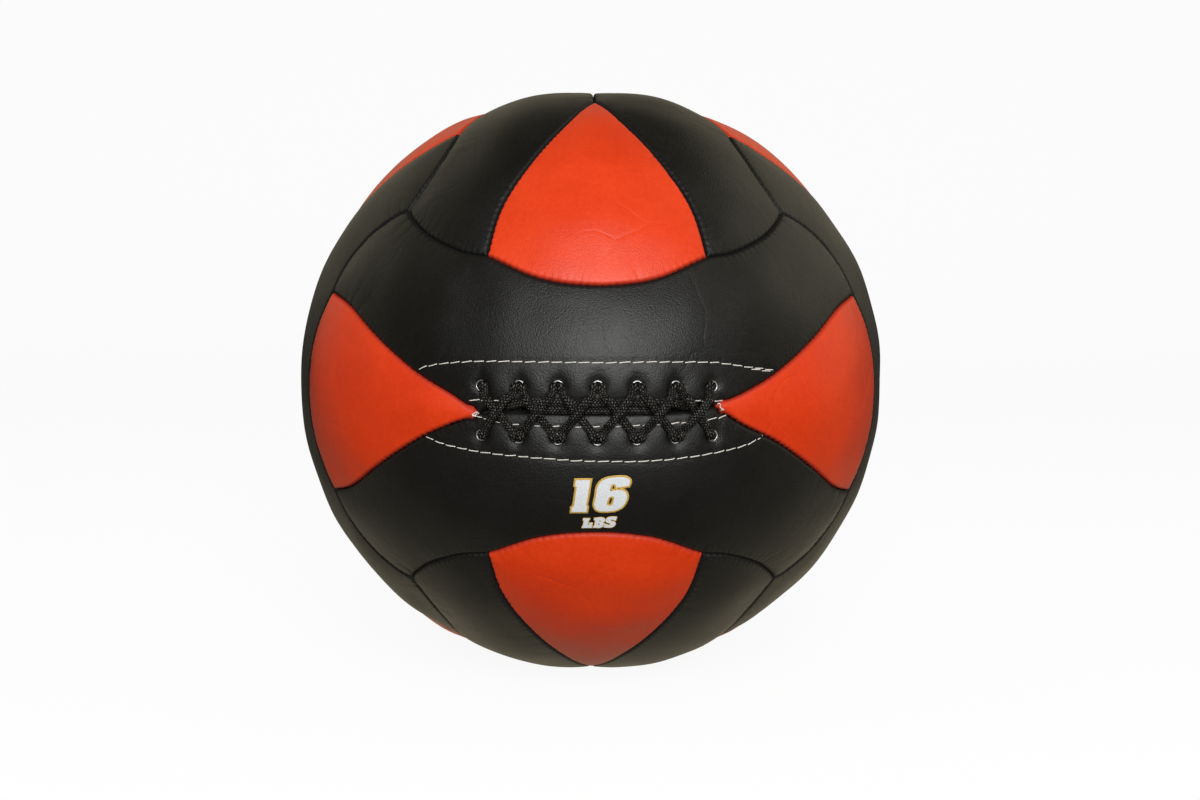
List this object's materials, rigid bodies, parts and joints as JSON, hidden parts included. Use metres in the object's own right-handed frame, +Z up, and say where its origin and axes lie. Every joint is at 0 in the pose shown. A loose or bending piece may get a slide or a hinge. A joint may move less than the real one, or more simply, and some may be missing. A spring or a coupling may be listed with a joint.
{
  "type": "wall ball",
  "caption": "Soft weighted training ball: padded leather panels in two colours over foam and packed textile, laced shut in front over a heavy core.",
  "frame": {"origin": "middle of the footprint, at the floor on which the ball rests", "axes": "+Z up; the laced mouth faces -Y; the mouth runs along X"},
  "size_m": [0.3522, 0.3622, 0.3507],
  "materials": {
    "red_leather": "semi-gloss grained synthetic leather",
    "black_leather": "semi-gloss grained synthetic leather",
    "facing_leather": "matt",
    "eyelet_metal": "polished nickel",
    "lace_cord": "waxed flat braid",
    "foam": "matt closed-cell foam",
    "canvas": "plain weave",
    "textile": "packed fibre",
    "iron_ballast": "packed grit"
  },
  "bodies": {
    "root": {"ballast": "iron_ballast", "ballast_bag": "canvas", "eyelet_lower_1": "eyelet_metal", "eyelet_lower_2": "eyelet_metal", "eyelet_lower_3": "eyelet_metal", "eyelet_lower_4": "eyelet_metal", "eyelet_lower_5": "eyelet_metal", "eyelet_lower_6": "eyelet_metal", "eyelet_lower_7": "eyelet_metal", "eyelet_upper_1": "eyelet_metal", "eyelet_upper_2": "eyelet_metal", "eyelet_upper_3": "eyelet_metal", "eyelet_upper_4": "eyelet_metal", "eyelet_upper_5": "eyelet_metal", "eyelet_upper_6": "eyelet_metal", "eyelet_upper_7": "eyelet_metal", "facing_lower": "facing_leather", "facing_upper": "facing_leather", "foam_layer": "foam", "lace": "lace_cord", "lining_bag": "canvas", "neck_tie": "canvas", "panel_back_bottom_black": "black_leather", "panel_back_left_red": "red_leather", "panel_back_right_red": "red_leather", "panel_back_top_black": "black_leather", "panel_bottom_back_red": "red_leather", "panel_bottom_front_red": "red_leather", "panel_bottom_left_black": "black_leather", "panel_bottom_right_black": "black_leather", "panel_front_bottom_black": "black_leather", "panel_front_left_red": "red_leather", "panel_front_right_red": "red_leather", "panel_front_top_black": "black_leather", "panel_left_back_black": "black_leather", "panel_left_bottom_red": "red_leather", "panel_left_front_black": "black_leather", "panel_left_top_red": "red_leather", "panel_right_back_black": "black_leather", "panel_right_bottom_red": "red_leather", "panel_right_front_black": "black_leather", "panel_right_top_red": "red_leather", "panel_top_back_red": "red_leather", "panel_top_front_red": "red_leather", "panel_top_left_black": "black_leather", "panel_top_right_black": "black_leather", "stuffing_back": "textile", "stuffing_front": "textile", "tongue": "facing_leather"}
  },
  "joints": []
}
